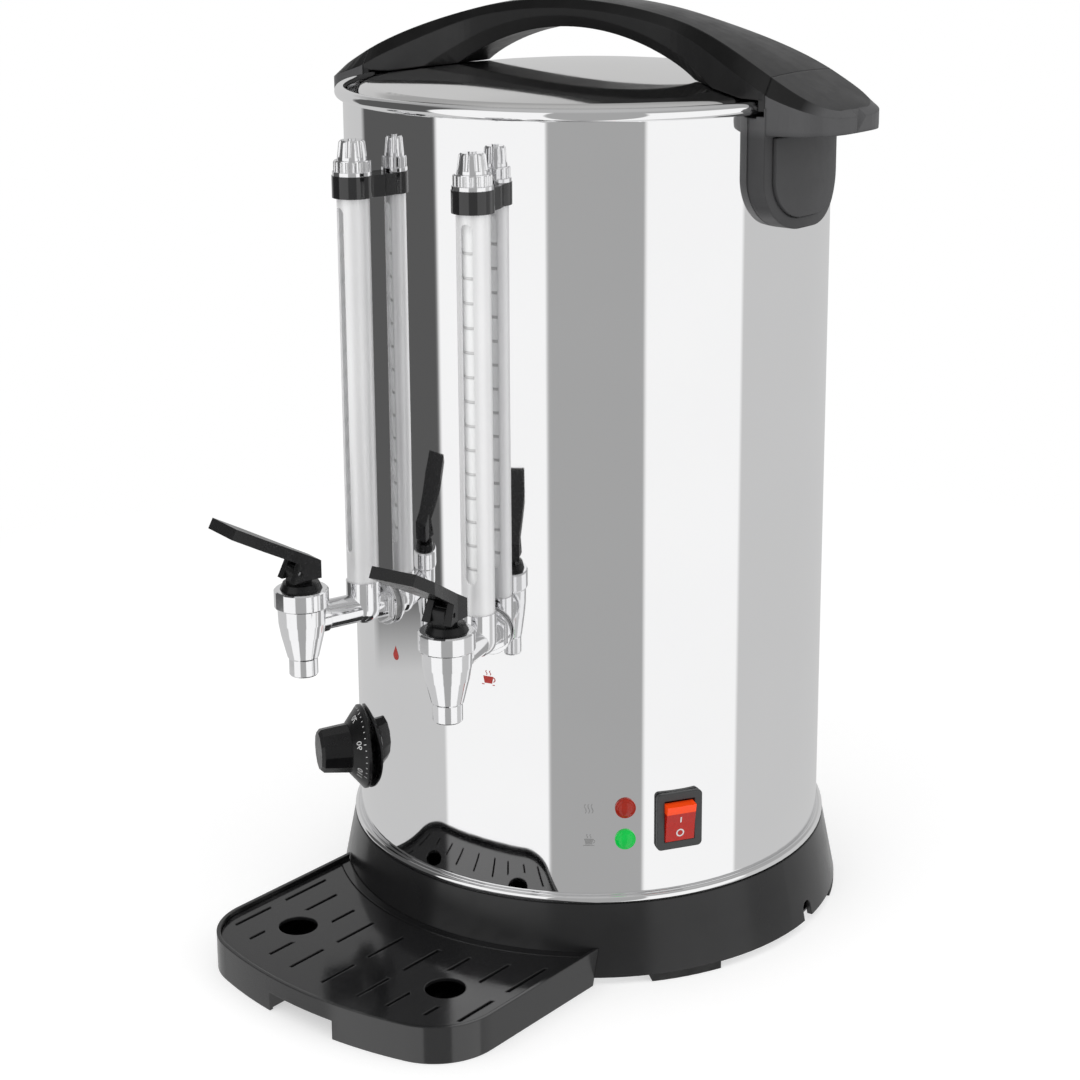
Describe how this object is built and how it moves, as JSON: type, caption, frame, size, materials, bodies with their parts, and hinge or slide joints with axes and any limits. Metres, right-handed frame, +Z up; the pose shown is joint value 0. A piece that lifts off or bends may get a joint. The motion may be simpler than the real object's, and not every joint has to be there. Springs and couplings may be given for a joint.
{
  "type": "hot water urn",
  "caption": "Two-chamber stainless steel hot water urn with two lever taps, sight gauges, drip tray and arched lid handle.",
  "frame": {"origin": "On the body axis, at the floor under the foot pads.", "axes": "+Z up along the body axis; the taps and drip tray face -Y; +X is to the right seen from the front."},
  "size_m": [0.353, 0.3912, 0.5165],
  "materials": {
    "polished_steel": "mirror polished",
    "steel_sheet": "satin",
    "chrome": "polished",
    "satin_steel": "satin",
    "black_gloss": "gloss",
    "black_satin": "satin",
    "grey_satin": "satin",
    "rubber": "matte",
    "silicone": "matte",
    "clear_glass": "clear",
    "red_lens": "translucent gloss",
    "green_lens": "translucent gloss",
    "screw_steel": "plain",
    "heat_aluminium": "cast",
    "beige_plastic": "matte",
    "copper_tube": "plain"
  },
  "bodies": {
    "housing": {"outer_shell": "polished_steel", "inner_tank": "steel_sheet", "tank_divider": "steel_sheet", "bottom_plate": "steel_sheet", "pipe_left": "chrome", "pipe_right": "chrome", "pipe_outer_nuts": "chrome", "pipe_inner_nuts": "chrome", "tap_body_left": "chrome", "tap_body_right": "chrome", "gauge_nut_left": "chrome", "gauge_nut_right": "chrome", "gauge_cap_left": "chrome", "gauge_cap_right": "chrome", "gauge_guard_left": "satin_steel", "gauge_guard_right": "satin_steel", "base_skirt": "black_gloss", "switch_housing": "black_gloss", "gauge_clamp_left": "black_gloss", "gauge_clamp_right": "black_gloss", "bracket_left": "grey_satin", "bracket_right": "grey_satin", "bracket_cover_left": "grey_satin", "bracket_cover_right": "grey_satin", "foot_pads": "rubber", "gauge_seals": "rubber", "cord_gland": "rubber", "pipe_gaskets": "silicone", "gauge_glass_left": "clear_glass", "gauge_glass_right": "clear_glass", "lamp_red": "red_lens", "lamp_green": "green_lens", "base_screws": "screw_steel", "bracket_screws": "screw_steel", "heating_element": "screw_steel", "heat_plate": "heat_aluminium", "thermostat_body": "beige_plastic", "dry_boil_cutout": "beige_plastic", "terminal_block": "beige_plastic", "thermostat_probe": "copper_tube"},
    "lid_assembly": {"lid": "polished_steel", "lid_handle": "black_satin", "lid_screws": "screw_steel"},
    "tray_assembly": {"drip_tray": "black_gloss"},
    "grid_plate": {"tray_grid": "black_gloss"},
    "head_left": {"tap_bonnet_left": "black_gloss", "tap_pin_left": "screw_steel"},
    "head_right": {"tap_bonnet_right": "black_gloss", "tap_pin_right": "screw_steel"},
    "lever_left": {"tap_lever_left": "black_gloss"},
    "lever_right": {"tap_lever_right": "black_gloss"},
    "stem_left": {"tap_plunger_left": "screw_steel", "tap_seat_left": "silicone"},
    "stem_right": {"tap_plunger_right": "screw_steel", "tap_seat_right": "silicone"},
    "knob": {"thermostat_knob": "black_gloss", "thermostat_shaft": "screw_steel"},
    "rocker": {"switch_rocker": "red_lens"}
  },
  "joints": [
    {"name": "lid_lift", "type": "slide", "parent": "housing", "child": "lid_assembly", "axis": [0, 0, 1], "range_m": [0, 0.12]},
    {"name": "tray_slide", "type": "slide", "parent": "housing", "child": "tray_assembly", "axis": [0, -1, 0], "range_m": [0, 0.12]},
    {"name": "grid_lift", "type": "slide", "parent": "tray_assembly", "child": "grid_plate", "axis": [0, 0, 1], "range_m": [0, 0.05]},
    {"name": "swivel_left", "type": "hinge", "parent": "housing", "child": "head_left", "pos_m": [-0.05214, -0.18063, 0.212], "axis": [0, 0, 1], "range_deg": [-45, 45]},
    {"name": "lever_press_left", "type": "hinge", "parent": "head_left", "child": "lever_left", "pos_m": [-0.05327, -0.18498, 0.2225], "axis": [0.9677, -0.2521, 0], "range_deg": [0, 26], "stiffness_Nm_per_rad": 0.3, "springref_deg": -20.05},
    {"name": "stem_lift_left", "type": "slide", "parent": "head_left", "child": "stem_left", "axis": [0, 0, 1], "range_m": [0, 0.0021]},
    {"name": "swivel_right", "type": "hinge", "parent": "housing", "child": "head_right", "pos_m": [0.05214, -0.18063, 0.212], "axis": [0, 0, 1], "range_deg": [-45, 45]},
    {"name": "lever_press_right", "type": "hinge", "parent": "head_right", "child": "lever_right", "pos_m": [0.05273, -0.18509, 0.2225], "axis": [0.9912, 0.1323, 0], "range_deg": [0, 26], "stiffness_Nm_per_rad": 0.3, "springref_deg": -20.05},
    {"name": "stem_lift_right", "type": "slide", "parent": "head_right", "child": "stem_right", "axis": [0, 0, 1], "range_m": [0, 0.0021]},
    {"name": "knob_turn", "type": "hinge", "parent": "housing", "child": "knob", "pos_m": [-0.08108, -0.12021, 0.093], "axis": [0.5592, 0.829, 0], "range_deg": [0, 270]},
    {"name": "rocker_tip", "type": "hinge", "parent": "housing", "child": "rocker", "pos_m": [0.11453, -0.068, 0.0875], "axis": [-0.5105, -0.8599, 0], "range_deg": [0, 18]}
  ],
  "couplings": [
    {"joint": "stem_lift_left", "follows": "lever_press_left", "m_per_rad": 0.0045},
    {"joint": "stem_lift_right", "follows": "lever_press_right", "m_per_rad": 0.0045}
  ]
}
